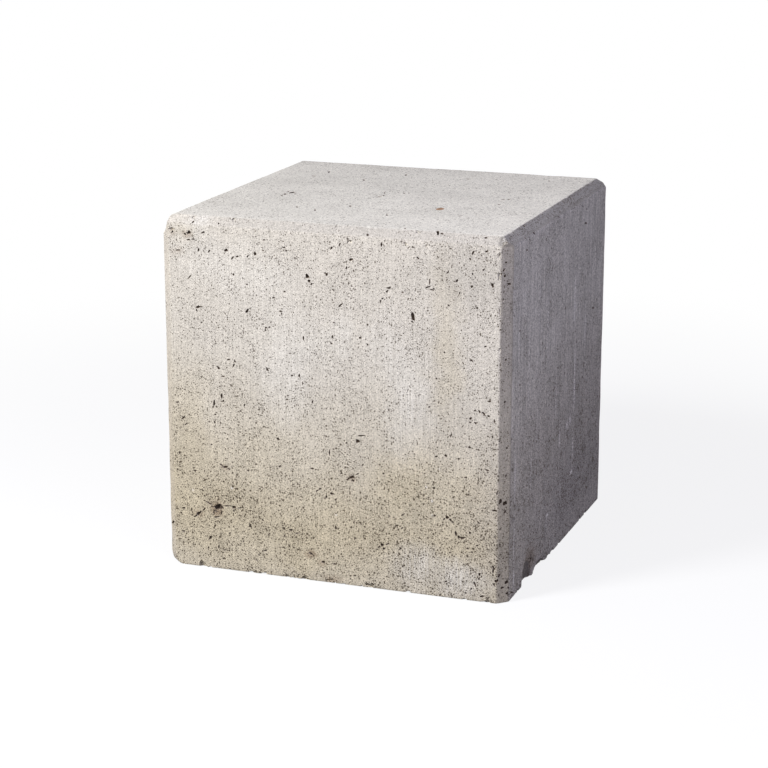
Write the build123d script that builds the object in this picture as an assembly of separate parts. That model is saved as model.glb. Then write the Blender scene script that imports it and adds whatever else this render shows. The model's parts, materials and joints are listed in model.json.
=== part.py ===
from build123d import *

import os
from math import hypot

# A pressed concrete seating block for a garden: one solid cube.
# The mould box gives it chamfered upright corners and the tamper a chamfered top rim.
# The base edge has no chamfer, and handling has knocked it and chipped one top corner.
# Millimetres. The origin is the middle of the base, +Z is up and -Y is the front.

# Overall size
BLOCK_WIDTH = 400.0
BLOCK_DEPTH = 400.0
BLOCK_HEIGHT = 400.0

# Chamfer legs: the rim slopes in by its reach over its drop
RIM_REACH = 12.0
RIM_DROP = 10.0
CORNER_LEG = 11.0

# Tall spall low on the right wall, just behind the front corner
TALL_SPALL_RISE = 32.0
TALL_SPALL_REACH = 6.5
TALL_SPALL_LENGTH = 40.0
TALL_SPALL_SHARE = 0.178

# Low spall on the same edge, behind the tooth that the tall one leaves
LOW_SPALL_RISE = 10.0
LOW_SPALL_REACH = 5.0
LOW_SPALL_LENGTH = 56.0
LOW_SPALL_SHARE = 0.31

# Worn foot of the front left corner, with so long a cut that the worn face is nearly flat
WORN_FOOT_RISE = 8.0
WORN_FOOT_REACH = 3.5
WORN_FOOT_LENGTH = 300.0

# Chip off the top of the same corner
CHIP_DEPTH = 7.0
CHIP_RADIUS = 20.0

DOWN = Vector(0, 0, -1)


def moulded_block():
    """The whole block as it leaves the mould: the tamped box, with its upright corners sliced off."""
    tamped = extrude(Rectangle(BLOCK_WIDTH, BLOCK_DEPTH), BLOCK_HEIGHT)
    top = tamped.faces().sort_by(Axis.Z)[-1]
    tamped = chamfer(top.edges(), RIM_REACH, RIM_DROP, reference=top)
    plan = Rectangle(BLOCK_WIDTH, BLOCK_DEPTH)
    plan = chamfer(plan.vertices(), CORNER_LEG)
    return tamped & extrude(plan, BLOCK_HEIGHT)


def knock(place, along, outward, rise, reach, length):
    """A round cutter across a base edge, biting rise up the wall, reach into the base and length along."""
    depth = rise * reach / hypot(rise, reach)
    bite = outward * (depth / reach) + DOWN * (depth / rise)
    radius = (length**2 / 4 + depth**2) / (2 * depth)
    across = along.cross(bite)
    cutter = Plane(origin=place + bite * (radius - depth), x_dir=along, z_dir=across)
    return cutter * Cylinder(radius, 2 * (rise + reach))


def right_edge_knock(share, rise, reach, length):
    """A knock on the right wall's base edge, at a share of its length from the front corner."""
    flat = BLOCK_DEPTH - 2 * CORNER_LEG
    place = Vector(BLOCK_WIDTH / 2, -flat / 2 + share * flat, 0)
    return knock(place, Vector(0, 1, 0), Vector(1, 0, 0), rise, reach, length)


def front_left_knock(rise, reach, length):
    """A knock on the middle of the front left corner's foot."""
    inset = CORNER_LEG / 2
    place = Vector(-BLOCK_WIDTH / 2 + inset, -BLOCK_DEPTH / 2 + inset, 0)
    outward = Vector(-1, -1, 0).normalized()
    along = Vector(1, -1, 0).normalized()
    return knock(place, along, outward, rise, reach, length)


def front_left_chip(depth, radius):
    """A round cutter at the top of the front left corner, biting depth into it from the left and above."""
    place = Vector(-BLOCK_WIDTH / 2, -BLOCK_DEPTH / 2 + CORNER_LEG, BLOCK_HEIGHT - RIM_DROP)
    outward = Vector(-9, -3, 5).normalized()
    return Plane(origin=place + outward * (radius - depth)) * Sphere(radius)


block = moulded_block()
block -= right_edge_knock(TALL_SPALL_SHARE, TALL_SPALL_RISE, TALL_SPALL_REACH, TALL_SPALL_LENGTH)
block -= right_edge_knock(LOW_SPALL_SHARE, LOW_SPALL_RISE, LOW_SPALL_REACH, LOW_SPALL_LENGTH)
block -= front_left_knock(WORN_FOOT_RISE, WORN_FOOT_REACH, WORN_FOOT_LENGTH)
block -= front_left_chip(CHIP_DEPTH, CHIP_RADIUS)

os.makedirs("parts", exist_ok=True)
export_step(block, "parts/seating_block.step")
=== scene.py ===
import json
import math

import bmesh
import bpy
import numpy as np
from mathutils import Matrix, Vector, noise
from mathutils.bvhtree import BVHTree

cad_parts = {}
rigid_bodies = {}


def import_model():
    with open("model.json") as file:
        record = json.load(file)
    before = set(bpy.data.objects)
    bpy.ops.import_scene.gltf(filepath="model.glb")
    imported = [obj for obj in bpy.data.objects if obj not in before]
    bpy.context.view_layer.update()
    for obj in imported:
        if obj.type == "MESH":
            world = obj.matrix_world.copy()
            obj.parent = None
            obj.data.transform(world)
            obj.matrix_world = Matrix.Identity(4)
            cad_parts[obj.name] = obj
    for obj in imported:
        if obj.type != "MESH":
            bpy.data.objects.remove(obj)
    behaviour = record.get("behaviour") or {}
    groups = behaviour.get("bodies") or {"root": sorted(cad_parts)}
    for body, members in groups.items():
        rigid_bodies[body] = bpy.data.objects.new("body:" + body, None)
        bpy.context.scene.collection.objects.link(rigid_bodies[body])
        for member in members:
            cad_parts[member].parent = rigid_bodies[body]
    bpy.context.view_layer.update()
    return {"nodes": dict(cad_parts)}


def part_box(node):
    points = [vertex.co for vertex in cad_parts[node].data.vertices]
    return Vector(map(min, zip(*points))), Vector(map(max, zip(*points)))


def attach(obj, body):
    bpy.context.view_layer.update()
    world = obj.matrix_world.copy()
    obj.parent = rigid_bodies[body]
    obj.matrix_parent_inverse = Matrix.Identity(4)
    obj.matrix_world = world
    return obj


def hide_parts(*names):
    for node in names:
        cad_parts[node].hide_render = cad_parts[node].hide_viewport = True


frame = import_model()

# A pressed concrete seating block for a garden: one solid cube with chamfered corners and rim.
# Its walls have open pores, drag marks and pale bloom, and its edges are crumbled.
# Metres. The origin is the middle of the base, +Z is up and -Y is the front.

BLOCK_NODE = "seating_block"
MM = 0.001

# Block, from the frame, its chamfer legs and the worn foot of its front left corner
HALF_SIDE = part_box(BLOCK_NODE)[1].x
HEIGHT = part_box(BLOCK_NODE)[1].z
RIM_REACH = 12 * MM
RIM_DROP = 10 * MM
RIM_FOOT = HEIGHT - RIM_DROP
CORNER_LEG = 11 * MM
FOOT_RISE = 8 * MM
FOOT_REACH = 3.5 * MM
FOOT_ROUND = 3 * MM

# Camera at the photo's viewing angle
IMAGE_SIDE = 768
SENSOR = 36.0
LENS = 102.25
CAMERA_PLACE = Vector((0.829, -2.310, 0.841))
CAMERA_AIM = Vector((-0.0086, -0.010, 0.1787))
CAMERA_TURN = (CAMERA_AIM - CAMERA_PLACE).to_track_quat("-Z", "Y")

# Skin grid: distances of its lines from an edge, then an even step
CREASE_LINES = [d * MM for d in (0, 3, 6, 9, 10, 11, 12, 13, 15, 18, 22)]
BASE_LINES = [d * MM for d in (0, 1.5, 3, 5, 7.5, 10, 13, 16, 19, 22)]
SPALL_LINES = [d * MM for d in range(26, 150, 4)]
SKIN_STEP = 8 * MM

# Worn creases: how far each is rounded, how the skin settles, and the knocked edges and chip
ARRIS_ROUND = 0.7 * MM
ARRIS_WEAR = 3 * MM
ARRIS_GRAIN = 30 * MM
BASE_ROUND = 2 * MM
FIELD_STEP = 0.05 * MM
SETTLE_ROUNDS = 4
LEAST_SLOPE = 0.25
SHARP_ANGLE = math.radians(32)
KNOCK_HEIGHT = 38 * MM
KNOCK_CLEAR = 0.3 * MM
KNOCK_ROUGH = 1.2 * MM
KNOCK_EVEN = 0.5
KNOCK_GRAIN = 7 * MM
CHIP_PLACE = (-HALF_SIDE, -HALF_SIDE + CORNER_LEG, RIM_FOOT)
CHIP_REACH = 24 * MM

# Pores and crumbs: radii, spacing, number for each square metre and the depth where a hollow's painted
# shade is darkest
PORE_LEAST = 0.6 * MM
PORE_LARGEST = 2.6 * MM
PORE_SPACING = 3 * MM
PORES_EACH_M2 = 4000.0
PORE_RARITY = 5.0
CRUMB_LEAST = 1.8 * MM
CRUMB_LARGEST = 5 * MM
CRUMB_SPACING = 2.5 * MM
CRUMBS_EACH_M2 = 26000.0
CRUMB_RARITY = 3.0
CRUMB_BAND = 3 * MM
SEED = 7
HOLLOW_DEPTH = 1.6 * MM
PORE_INPUTS = {
    "Pores Each m2": PORES_EACH_M2,
    "Pore Spacing": PORE_SPACING,
    "Least Pore": PORE_LEAST,
    "Largest Pore": PORE_LARGEST,
}
CRUMB_INPUTS = {
    "Crumbs Each m2": CRUMBS_EACH_M2,
    "Crumb Spacing": CRUMB_SPACING,
    "Least Crumb": CRUMB_LEAST,
    "Largest Crumb": CRUMB_LARGEST,
}

# Lumps that cut the pores and crumbs: how they bulge, how slim or full one is, and how many there are
LUMP_GRAIN = 1.1
LUMP_APART = 9.7
LUMP_START = 3.1
LUMP_BULGE = 0.6
LUMP_ROUGH = 0.5
LUMP_ROUGH_GRAIN = 2.4
LUMP_SLIMMEST = (0.7, 0.55, 0.5)
LUMP_FULLEST = (1.5, 1.0, 0.95)
SPARSE_SIZE = 0.5
SMALL_LUMPS = 12
FINE_LUMPS = 20
CRUMB_LUMPS = 12

# Slant at which a face belongs to the seat, the bed or a wall that the photo shows
SEAT_SLANT = 0.92
BED_SLANT = -0.6
SHOWN_SLANT = 0.9

# Share of the full number of pores on each finish, and of crumbs along a crease
CREASE_CRUMB_SHARE = 0.16
PORE_SHARES = {"wall": 0.45, "seat": 0.22, "bed": 0.15, "broken": 0.6}
SHOWN_WALL_SHARE = 0.25
SHOWN_FOOT_SHARE = 0.4
FOOT_BAND = 200 * MM

# Pores and chips: place, length and breadth in photo pixels, and slant in degrees
PLACED_PORES_PX = [
    (193, 222, 3, 1.8, 60), (218.5, 223.5, 2, 2, 0), (172.5, 231.5, 2.5, 2, 80),
    (188.5, 232.5, 5, 3.5, 15), (185, 234, 2.5, 2.5, 0), (203, 232.5, 4, 1.9, 20), (193, 239, 3, 2, 10),
    (188.5, 239.5, 3.5, 1.6, 10), (178, 250, 4, 2, 0), (198.5, 250, 4, 2, 85), (209, 251, 3, 1.8, 60),
    (225.7, 250.3, 3.6, 3, 10), (255, 253.7, 3.2, 2.8, 120), (232.5, 258, 4, 1.6, 55),
    (237, 256.5, 3.4, 1.6, 10), (247.5, 256.5, 3.4, 1.6, 60), (233.5, 274.5, 3.2, 1.8, 80),
    (247, 284.5, 2.2, 1.6, 0), (189.5, 277, 5.5, 1.5, 52), (273.5, 297.5, 2.8, 2, 0),
    (198, 307, 4.4, 3, 30), (196.6, 310, 3, 1.4, 75), (247.3, 310.8, 5, 2.8, 62),
    (201.5, 322.5, 2, 1.8, 0), (264, 240, 3, 1.6, 15), (284, 247.5, 2.8, 1.8, 0),
    (286, 250.5, 2.8, 1.8, -30), (331.3, 248, 3.2, 2, 60), (339.5, 244.5, 3.4, 2, 60),
    (347.5, 239, 2.8, 1.8, 20), (367.5, 234.8, 2.6, 2.2, 80), (381.5, 245, 4.4, 2, 85),
    (351, 259.5, 3.4, 3, 20), (346.5, 268, 3.2, 1.7, 85), (326.5, 274.7, 2.8, 2.4, 30),
    (307.5, 276.5, 5, 4, 120), (309, 281, 3.8, 2.6, 90), (311.7, 284, 2.8, 1.8, 40),
    (284.5, 291.5, 2.2, 2.2, 0), (340.5, 305, 5.5, 2.2, 35), (389, 288, 3.4, 2.6, 30),
    (387, 291.5, 3.4, 2, 40), (382.5, 298.5, 2.6, 1.7, 45), (380.5, 301.5, 3.6, 1.7, 85),
    (280.7, 311.3, 3.4, 2.2, 0), (281.7, 314, 3.4, 1.2, 100), (333.7, 322.5, 2.2, 1.8, 0),
    (438, 231.5, 2.8, 1.8, 0), (442, 233.5, 2.8, 2.2, -30), (413, 247.3, 2.8, 1.6, 20),
    (418, 258, 3.6, 1.8, -45), (473, 253, 4, 2.2, 60), (486.8, 251.5, 2.8, 2.2, 20),
    (470, 259, 3.2, 1.7, -60), (486, 237.7, 3.6, 1.7, 0), (483.5, 270, 3.4, 1.8, 45),
    (472.5, 274, 2.8, 2, 60), (448, 272, 4, 1.8, 60), (429.6, 282, 6, 1.5, 85), (428, 287, 5.5, 2, 15),
    (431.5, 289.7, 4.5, 1.7, -10), (434, 289, 2.4, 1.8, 100), (457, 280.7, 3.4, 2.4, 60),
    (472, 286.7, 3.4, 2.2, 50), (459.7, 293, 2.8, 1.8, 80), (492.7, 285.3, 4.4, 3, 95),
    (448.5, 305.3, 2.8, 2, -20), (477.3, 308, 2.2, 2, 0), (412.7, 317, 8, 4.4, 95),
    (412, 321.8, 2.6, 2, 0), (485.5, 346.5, 2.8, 1.8, 0), (269.3, 327.3, 2, 1.9, 0),
    (266, 327.7, 2, 1.9, 0), (265.3, 330.3, 2, 1.9, 0), (228.5, 359.5, 3.8, 1.7, 0),
    (235, 361.5, 3.4, 1.8, 110), (233.5, 365.5, 5.5, 1.6, 60), (218.6, 368, 3.4, 2.6, -30),
    (223, 376.3, 3.2, 2, 0), (267.3, 369.5, 3.8, 2.2, 110), (221.7, 396, 5, 2.4, 100),
    (223.3, 401, 2.4, 2.2, 40), (214.3, 403, 6, 2.2, 88), (213, 407, 2.4, 2, 0), (178, 402, 2.4, 1.9, 80),
    (215.5, 414.5, 2.2, 1.6, 0), (214.7, 422, 3, 2, -50), (183.5, 417.5, 4.5, 1.8, 40),
    (186, 424, 3.4, 1.6, 40), (244.5, 405, 3.2, 1.7, 85), (303.3, 338, 4.4, 1.7, 88),
    (332.5, 337, 3.2, 1.7, 85), (331.5, 343.5, 2, 1.9, 0), (360, 338, 3.2, 2, 0),
    (367.5, 344.7, 2.2, 1.9, 80), (299.3, 376, 3.8, 2.1, 88), (292, 375.5, 3.2, 1.7, 0),
    (302.7, 383.5, 2.8, 1.7, 85), (287, 399.5, 2.8, 1.8, 10), (312.5, 401.5, 3, 2, 65),
    (278, 439, 3.2, 3, 0), (357.5, 441, 5, 3.6, -20), (361.5, 435.7, 8, 1.6, 8), (346.3, 443, 2.4, 2, 0),
    (444.5, 352.5, 2, 2, 0), (471.5, 360.5, 2.4, 2, 0), (436.3, 378.5, 2.2, 2, 0),
    (489.5, 401.3, 3.8, 1.8, 5), (434.3, 401, 2, 1.8, 0), (429.2, 407, 2.2, 1.9, 80),
    (475, 410.5, 2.8, 1.7, 20), (479.3, 411.5, 3.4, 2, -60), (484, 414, 4.4, 2.2, -50),
    (488.5, 416.3, 2.8, 2, 0), (470.5, 418.5, 3.4, 2.4, 45), (470, 422.5, 2.8, 1.8, 0),
    (475.5, 423, 3.8, 2, -45), (494.5, 421, 3.8, 1.8, 88), (451, 435.5, 4.2, 1.8, 70),
    (492.5, 436.8, 2.6, 1.8, 80), (469.5, 447.5, 2.8, 2.2, 0), (445.7, 455.5, 3.8, 2.4, -60),
    (436.5, 456.5, 2.8, 2, 20), (458.5, 459, 2.4, 1.9, 80), (211.5, 444.5, 2, 1.9, 0),
    (180, 452.5, 2.8, 2.2, 60), (225, 466.7, 5.5, 2.8, 15), (248, 470.3, 2.4, 1.7, 0),
    (279.7, 466.3, 2.8, 2.2, 20), (195, 470.7, 3.2, 1.7, 0), (184, 507.7, 3.2, 1.8, 0),
    (218, 507, 8, 6, 10), (217, 517, 5, 1.6, 5), (227, 506, 7, 1.4, 0), (234, 507, 4.4, 3, -10),
    (198.7, 513.5, 6, 3.2, 42), (173, 522, 4.4, 2.4, 15), (250.5, 526, 4.4, 2.2, -60),
    (183.5, 531, 3.4, 1.8, 0), (230, 533, 2.2, 2, 0), (210.6, 537.5, 4, 3, 80),
    (208.7, 547.5, 2.4, 1.7, 80), (219, 546.5, 3.4, 2, 80), (265, 550.5, 5, 1.8, 5),
    (329.5, 452.5, 7, 1.5, 88), (341.5, 473.3, 2.2, 2, 0), (362.5, 465, 3.2, 1.7, 60),
    (352, 477, 6, 2.8, 22), (353, 480.3, 3, 2.6, -40), (357.5, 474, 3.4, 1.6, 30),
    (383.5, 473.5, 2.2, 2, 0), (320, 489, 2.4, 2.2, 40), (317.5, 490.5, 3.4, 1.6, 30),
    (331.5, 493.7, 3.8, 2.2, -10), (326.2, 496.7, 3.2, 2, 80), (335.8, 499.7, 2.8, 1.9, 50),
    (283.7, 528.5, 3.2, 2.6, 80), (291, 530, 3.8, 2.4, 0), (297, 533.3, 4.4, 1.6, 15),
    (335.6, 527.3, 3.2, 1.9, 85), (355.5, 538.2, 2.4, 1.8, 20), (382, 545, 3.6, 3, 0),
    (384, 548.7, 2.6, 2.4, 0), (400, 549, 4.4, 1.8, 30), (311, 553.5, 4.4, 2.2, -25),
    (323.5, 562, 3.4, 2.6, -20), (334.5, 563.7, 3.2, 1.6, -10), (355, 575.5, 3.2, 1.4, 0),
    (495.5, 474.3, 3.2, 1.6, 5), (500.5, 501.5, 6, 3.2, 85), (505, 503, 5, 4, 20),
    (494.5, 510.7, 5, 2.2, -10), (403, 514.5, 3.8, 1.7, 35), (447, 517.5, 3.8, 3.2, 0),
    (444, 519, 3, 1.8, 40), (450.5, 520, 4, 2.2, -40), (453, 522, 3.2, 2, -60), (397, 525.5, 3, 2, 0),
    (402, 528.3, 2.6, 1.6, 80), (478.8, 523, 2.4, 1.9, -50), (455.8, 533.5, 4.6, 2.6, -65),
    (458.8, 537, 4.4, 2.4, -30), (463, 538, 4.6, 2.4, 10), (470, 533, 2.8, 2.4, 80),
    (477, 545.7, 2.8, 2, 35), (467.5, 548.5, 2.4, 2, 0), (472, 552, 2.4, 1.8, 0), (467.3, 556, 2.2, 2, 0),
    (493.5, 567.5, 5.4, 2.6, -60), (497, 581, 4.2, 3.2, 80), (506.5, 582, 4.2, 3.4, 30),
    (479.5, 574.7, 3, 2.4, 85), (475, 584.5, 5.4, 2, -65), (482, 596.5, 6, 1.8, 10),
    (446, 581.5, 2.8, 1.8, -10), (465.5, 593, 2.4, 2, 0), (507, 593, 3.4, 2.6, 10),
    (512, 592.5, 2.4, 2.2, 0), (209, 503, 6, 1.8, -35), (214, 512, 5, 1.6, 85), (221.5, 513, 4, 1.5, 80),
    (204, 509.5, 5, 1.6, 38), (195.5, 516, 4, 1.5, 35), (234, 511, 3.4, 1.6, 85), (240, 508, 4, 1.4, 10),
    (229, 469, 3.4, 1.5, -40), (221, 464.5, 3.4, 1.5, -35), (348, 479, 4, 1.6, 30),
    (387.5, 544, 3.4, 1.8, 20), (379, 547, 2.8, 1.8, 40), (493, 571, 4, 2, 80), (499, 576, 4, 2, 60),
    (494, 585, 4, 1.8, -50), (502, 588, 4, 2.2, 20), (509, 588, 4, 2, -30), (479, 579, 4, 1.8, 70),
    (471, 589, 3.4, 1.6, 30), (488, 598, 4, 1.6, 0), (505, 512, 4, 2, 60), (497, 493, 4, 1.6, 70),
    (506, 476, 3, 1.8, 80), (507, 448, 2.6, 1.8, 80), (505, 402, 2.6, 1.8, 80), (506, 360, 2.6, 1.6, 80),
    (314, 176, 2.6, 1.4, 10), (329, 172, 2.2, 1.4, 0), (364, 180, 2.2, 1.4, 0), (292, 192.5, 5, 1.5, 15),
    (285, 194, 2.4, 1.4, 0), (297, 207, 2.2, 1.4, 0), (315, 210, 2.2, 1.4, 0), (350, 206, 2.4, 1.4, 0),
    (379.5, 196.6, 2.2, 1.2, 10), (383.5, 195.6, 1.8, 1.2, 0), (384.5, 192.6, 1.6, 1.0, 0),
    (404, 193.2, 2, 1, 0), (409, 193, 1.8, 0.9, 0), (460, 216, 2.4, 1.1, 15), (503, 199.5, 2.6, 1.1, 10),
    (509, 199.5, 2, 1.1, 0), (468, 179, 2.6, 1.0, 5), (549, 181, 2, 1.0, 0), (499, 204.5, 2, 1.1, 0),
    (405, 228.5, 2.4, 1.0, 0), (387, 215, 2.2, 1.4, 0), (406, 175, 2.2, 1.3, 0), (524, 226, 2.2, 2, 0),
    (534, 233, 2.2, 2, 0), (527, 250, 2.2, 2, 0), (593, 308, 2.4, 2, 0), (586, 223, 2.2, 2, 0),
    (509, 284, 3.4, 2.4, 0), (504, 270, 3.2, 2, 60), (505, 276, 3.4, 2, 80), (501.5, 274, 3, 1.8, 70),
    (506, 262.5, 3, 1.8, 20), (531, 558, 5, 3, 70), (546.7, 238.6, 1.9, 1.0, 90),
    (517.8, 234.4, 1.7, 1.0, 90), (529.7, 239.6, 1.7, 1.0, 90), (551.5, 248.6, 2.2, 1.0, 90),
    (558.4, 216.5, 1.8, 1.0, 90), (571, 198.6, 1.8, 1.2, 90), (580.3, 189, 1.8, 1.2, 90),
    (566, 235, 1.8, 0.9, 90), (587, 209, 2.2, 0.9, 90), (509.5, 238, 1.7, 1.0, 90), (282, 195.5, 2, 1, 0),
    (288, 191.5, 2.2, 1, 20), (295, 194, 1.8, 1, 0),
]
CHIPS_PX = [
    (171, 229, 6, 4, 20), (253, 572, 8, 3, 0), (330, 580, 9, 3, 10), (297, 577, 6, 2.5, 0),
    (503, 300, 4, 3, 80), (500, 350, 5, 2.5, 85), (499, 256, 8, 3, 80), (499, 276, 8, 3, 85),
    (499.5, 312, 7, 2.5, 88), (500, 440, 5, 2.5, 85), (513, 470, 5, 3, 85), (500, 545, 6, 3, 80),
    (513, 520, 5, 3, 85),
]
PLACED_LEAST_DEPTH = 0.3 * MM

# Weathering and painted shade: place and reach in photo pixels, and strength
BLOOM_PX = [
    (240, 272, 75, 34, 0.45), (205, 255, 35, 30, 0.3), (283, 370, 34, 66, 0.65), (343, 330, 16, 30, 0.5),
    (315, 340, 40, 40, 0.35), (408, 395, 28, 70, 0.75), (385, 340, 22, 40, 0.4), (418, 565, 38, 32, 0.7),
    (462, 582, 34, 26, 0.85), (270, 300, 50, 40, 0.3), (200, 218, 50, 16, 1.0),
]
STAIN_PX = [
    (190, 480, 40, 100, 0.6), (215, 505, 50, 40, 0.4), (305, 550, 34, 34, 0.9), (402, 482, 48, 34, 1.0),
    (446, 370, 22, 60, 0.6), (250, 545, 60, 34, 0.4), (184, 232, 20, 14, 0.4), (345, 560, 40, 25, 0.4),
    (470, 490, 40, 40, 0.3), (360, 520, 50, 30, 0.4), (182, 400, 32, 80, 0.4), (445, 300, 18, 60, 0.35),
    (303, 562, 14, 34, 0.8),
]
# Brown round some pits; the last patch, in the spalled hollow at the right foot, is painted shade
PIT_BROWN_AND_SHADE_PX = [
    (217, 509, 9, 11, 0.9), (199, 513, 8, 5, 0.5), (311, 554, 8, 5, 0.7), (352, 478, 6, 5, 0.5),
    (187, 234, 8, 5, 0.45), (178, 251, 8, 6, 0.3), (172, 231, 6, 6, 0.3), (333, 579, 14, 5, 0.5),
    (323, 563, 6, 5, 0.5), (225, 467, 6, 5, 0.4), (529, 560, 7, 16, 0.6),
]
SCRATCH_PX = [
    (575, 300, 0.8, 36, 0.8), (574.5, 380, 0.8, 44, 1.0), (570, 420, 1.0, 6, 1.0),
    (567, 425, 1.0, 5, 1.0), (572.5, 445, 0.8, 22, 0.7), (571, 472, 1.6, 2.8, 1.0),
    (569.5, 474, 1.0, 2, 1.0), (547, 515, 1.6, 2.8, 1.0), (540, 519, 1.0, 2, 0.7),
    (559.5, 437, 0.8, 14, 0.8), (560, 490, 0.8, 12, 0.7), (546, 525, 0.8, 14, 0.5),
    (515, 480, 0.7, 34, 0.8), (513.5, 580, 0.8, 14, 1.0), (514, 540, 0.7, 30, 0.8),
    (540, 300, 0.8, 40, 0.5), (585, 330, 0.8, 40, 0.5), (556, 400, 0.8, 30, 0.5),
    (531, 470, 0.8, 24, 0.5), (548, 330, 0.8, 50, 0.4), (529, 380, 0.8, 50, 0.4),
    (565, 260, 0.8, 40, 0.5), (519, 330, 0.8, 50, 0.4), (537, 440, 0.8, 40, 0.4),
    (426.3, 487, 1.5, 1.5, 0.7), (432, 501, 1.8, 1.8, 0.9), (432, 515, 1.2, 1.5, 0.5),
    (439.5, 469, 1.3, 1.3, 0.5), (232, 488, 1.8, 1.8, 0.7), (336.5, 515, 1.6, 1.6, 0.6),
    (193, 490, 1.5, 1.5, 0.5),
]
FLECK_PX = (440, 209)
FLECK_REACH = (6 * MM, 9 * MM, 20 * MM)
BROWN_CORNER_PX = [
    (506, 310, 12, 130, 1.0), (506, 440, 12, 90, 0.4), (506, 565, 12, 70, 0.35),
]
# Painted shade: darker towards the lower back of the right wall, with more sand gaps there
RIGHT_SHADE_PX = [
    (586, 430, 90, 130, 0.5), (545, 535, 60, 80, 0.2), (590, 470, 40, 60, 0.15),
]
# Darker patches on the front wall
DARKER_PATCHES_PX = [
    (480, 277, 50, 50, 0.55), (430, 275, 40, 50, 0.3), (440, 415, 60, 40, 0.36), (192, 345, 25, 30, 0.3),
    (192, 455, 30, 50, 0.34), (205, 250, 34, 22, 0.3), (262, 520, 50, 30, 0.28), (370, 455, 40, 40, 0.26),
    (420, 515, 40, 30, 0.34), (445, 345, 36, 50, 0.3), (292, 280, 30, 25, 0.25), (365, 280, 25, 25, 0.25),
]
PATCH_THICKNESS = 60 * MM
PATCH_FADE = (0.15, 1.15)

# Chamfer bands: how soft they are, how far they lap over their creases and how deep they reach
BAND_EDGE = 1.0 * MM
BAND_LAP = 0.3 * MM
BAND_DEPTH = 5 * MM
RIM_FADE = 3 * MM
CREASE_START = 2.5 * MM

# Concrete colours, linear
PALE_SKIN = (0.620, 0.579, 0.490, 1)
BLOOM = (0.698, 0.667, 0.585, 1)
WARM_STAIN = (0.577, 0.503, 0.345, 1)
SEAT_SKIN = (0.650, 0.626, 0.541, 1)
# Painted shade: the rim and the right rim are darkened where the lamps light them more than the block shows
RIM_PAINTED_SHADE = (0.76, 0.765, 0.78, 1)
RIGHT_RIM_PAINTED_SHADE = (0.84, 0.85, 0.87, 1)
# Painted cool shade light: a bluer tint on the upper right wall
COOL_FILL_TINT = (0.955, 0.97, 1.0, 1)
# Painted shade on the sliced corners; the right ones also have a browner hue of their own
CORNER_PAINTED_SHADE = (0.90, 0.88, 0.80, 1)
LEFT_CORNER_PAINTED_SHADE = (0.93, 0.915, 0.92, 1)
BED_SKIN = (0.500, 0.455, 0.395, 1)
# Knocked faces: rough concrete darkened with painted shade of their spalled hollows
KNOCKED_TONE_AND_SHADE = (0.200, 0.178, 0.152, 1)
SCRATCH = (0.920, 0.880, 0.800, 1)
# Painted shade in the pores, from the lip to the dark bottom
PORE_LIP_SHADE = (0.450, 0.395, 0.325, 1)
PORE_BOTTOM_SHADE = (0.085, 0.062, 0.042, 1)
# Painted shade in the sand's tiny gaps and pores
SPECK_SHADE = (0.075, 0.055, 0.032, 1)
# Brown round some pits, and painted shade in the spalled hollow at the right foot
PIT_BROWN_AND_SHADE = (0.250, 0.165, 0.100, 1)
FLECK = (0.330, 0.190, 0.100, 1)
CORNER_BROWN = (0.420, 0.385, 0.320, 1)
# Painted shade: darker towards the lower back of the right wall
RIGHT_SHADE_TONE = (0.420, 0.390, 0.360, 1)
SKIN_ROUGHNESS = 0.9
SKIN_SHINE = 0.25

# Uneven edges: how far noise pushes a pattern about, and its scale
WARM_DRIFT = (100 * MM, 9.0)
PATCH_DRIFT = (50 * MM, 22.0)
SCRATCH_DRIFT = (2 * MM, 60.0)
PIT_DRIFT = (12 * MM, 110.0)
NOISE_MIDDLE = 0.5
CLOUD_ROUGH = 0.6
CLOUD_LOW = 0.3
CLOUD_HIGH = 0.7

# Walls: where each mask starts and is full, and how strong each effect is
RIGHT_WALL_START = (197 * MM, 199 * MM)
RIGHT_RIM_START = (184 * MM, 188 * MM)
FRONT_CREASE_END = (190 * MM, 180 * MM)
LEFT_HALF = (50 * MM, -50 * MM)
WARM_RISE = (270 * MM, 30 * MM)
FOOT_WARMTH = (-10 * MM, 60 * MM, 0.62, 1.0)
FRONT_WARMTH = 0.9
RIGHT_WARMTH = 0.25
CORNER_WARMTH = 0.6
STAIN_STRENGTH = 0.6
FINE_DRAG = {"Spacing": 1.8 * MM, "Length": 60 * MM}
BROAD_DRAG = {"Spacing": 6 * MM, "Length": 150 * MM}
DRAG_STRENGTH = 0.5
RIGHT_FINE_DRAG = 0.6
RIGHT_BROAD_DRAG = 0.62
BLOOM_EVEN = 0.75
BLOOM_STREAKS = 1.8
# Painted cool shade light: where the bluer tint rises on the right wall
COOL_RISE = (100 * MM, 340 * MM)
DARKER_PATCH_TONE = 0.76
SCRATCH_STRENGTH = 0.9
# Painted shade on the rim: weaker on the left and towards the right
RIM_LEFT_SHARE = (-200 * MM, -80 * MM, 0.5, 1.0)
RIM_RIGHT_SHARE = (50 * MM, 190 * MM, 1.0, 0.86)
# Painted shade along the crease under the rim
CREASE_PAINTED_SHADE = 0.86
BROWN_STRENGTH = 0.9
PIT_STRENGTH = 0.75

# Sand on the walls: how much of it is gaps darkened as painted shade, by place, and how strong it is
COVER_CLOUDS = 26.0
COVER_RANGE = (0.46, 0.66)
CLUMP_CLOUDS = 85.0
CLUMP_SHIFT = 0.06
RIGHT_COVER = (50 * MM, 350 * MM, 0.17, 0.12)
COVER_SHIFTS = {"warm": 0.2, "corner": -0.08, "right_shade": 0.1, "rim": -0.12, "brown": 0.08, "shaded": 0.26}
WALL_GRAIN = 2.0 * MM
DIM_GRAIN = 0.3 * MM
WALL_SHADES = (1.0, 1.32)
WALL_SPECKS = (0.84, 0.8)
FOOT_SHADES = 0.25
FOOT_SPECKS = 0.125
WALL_BUMP = 0.5 * MM

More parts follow.
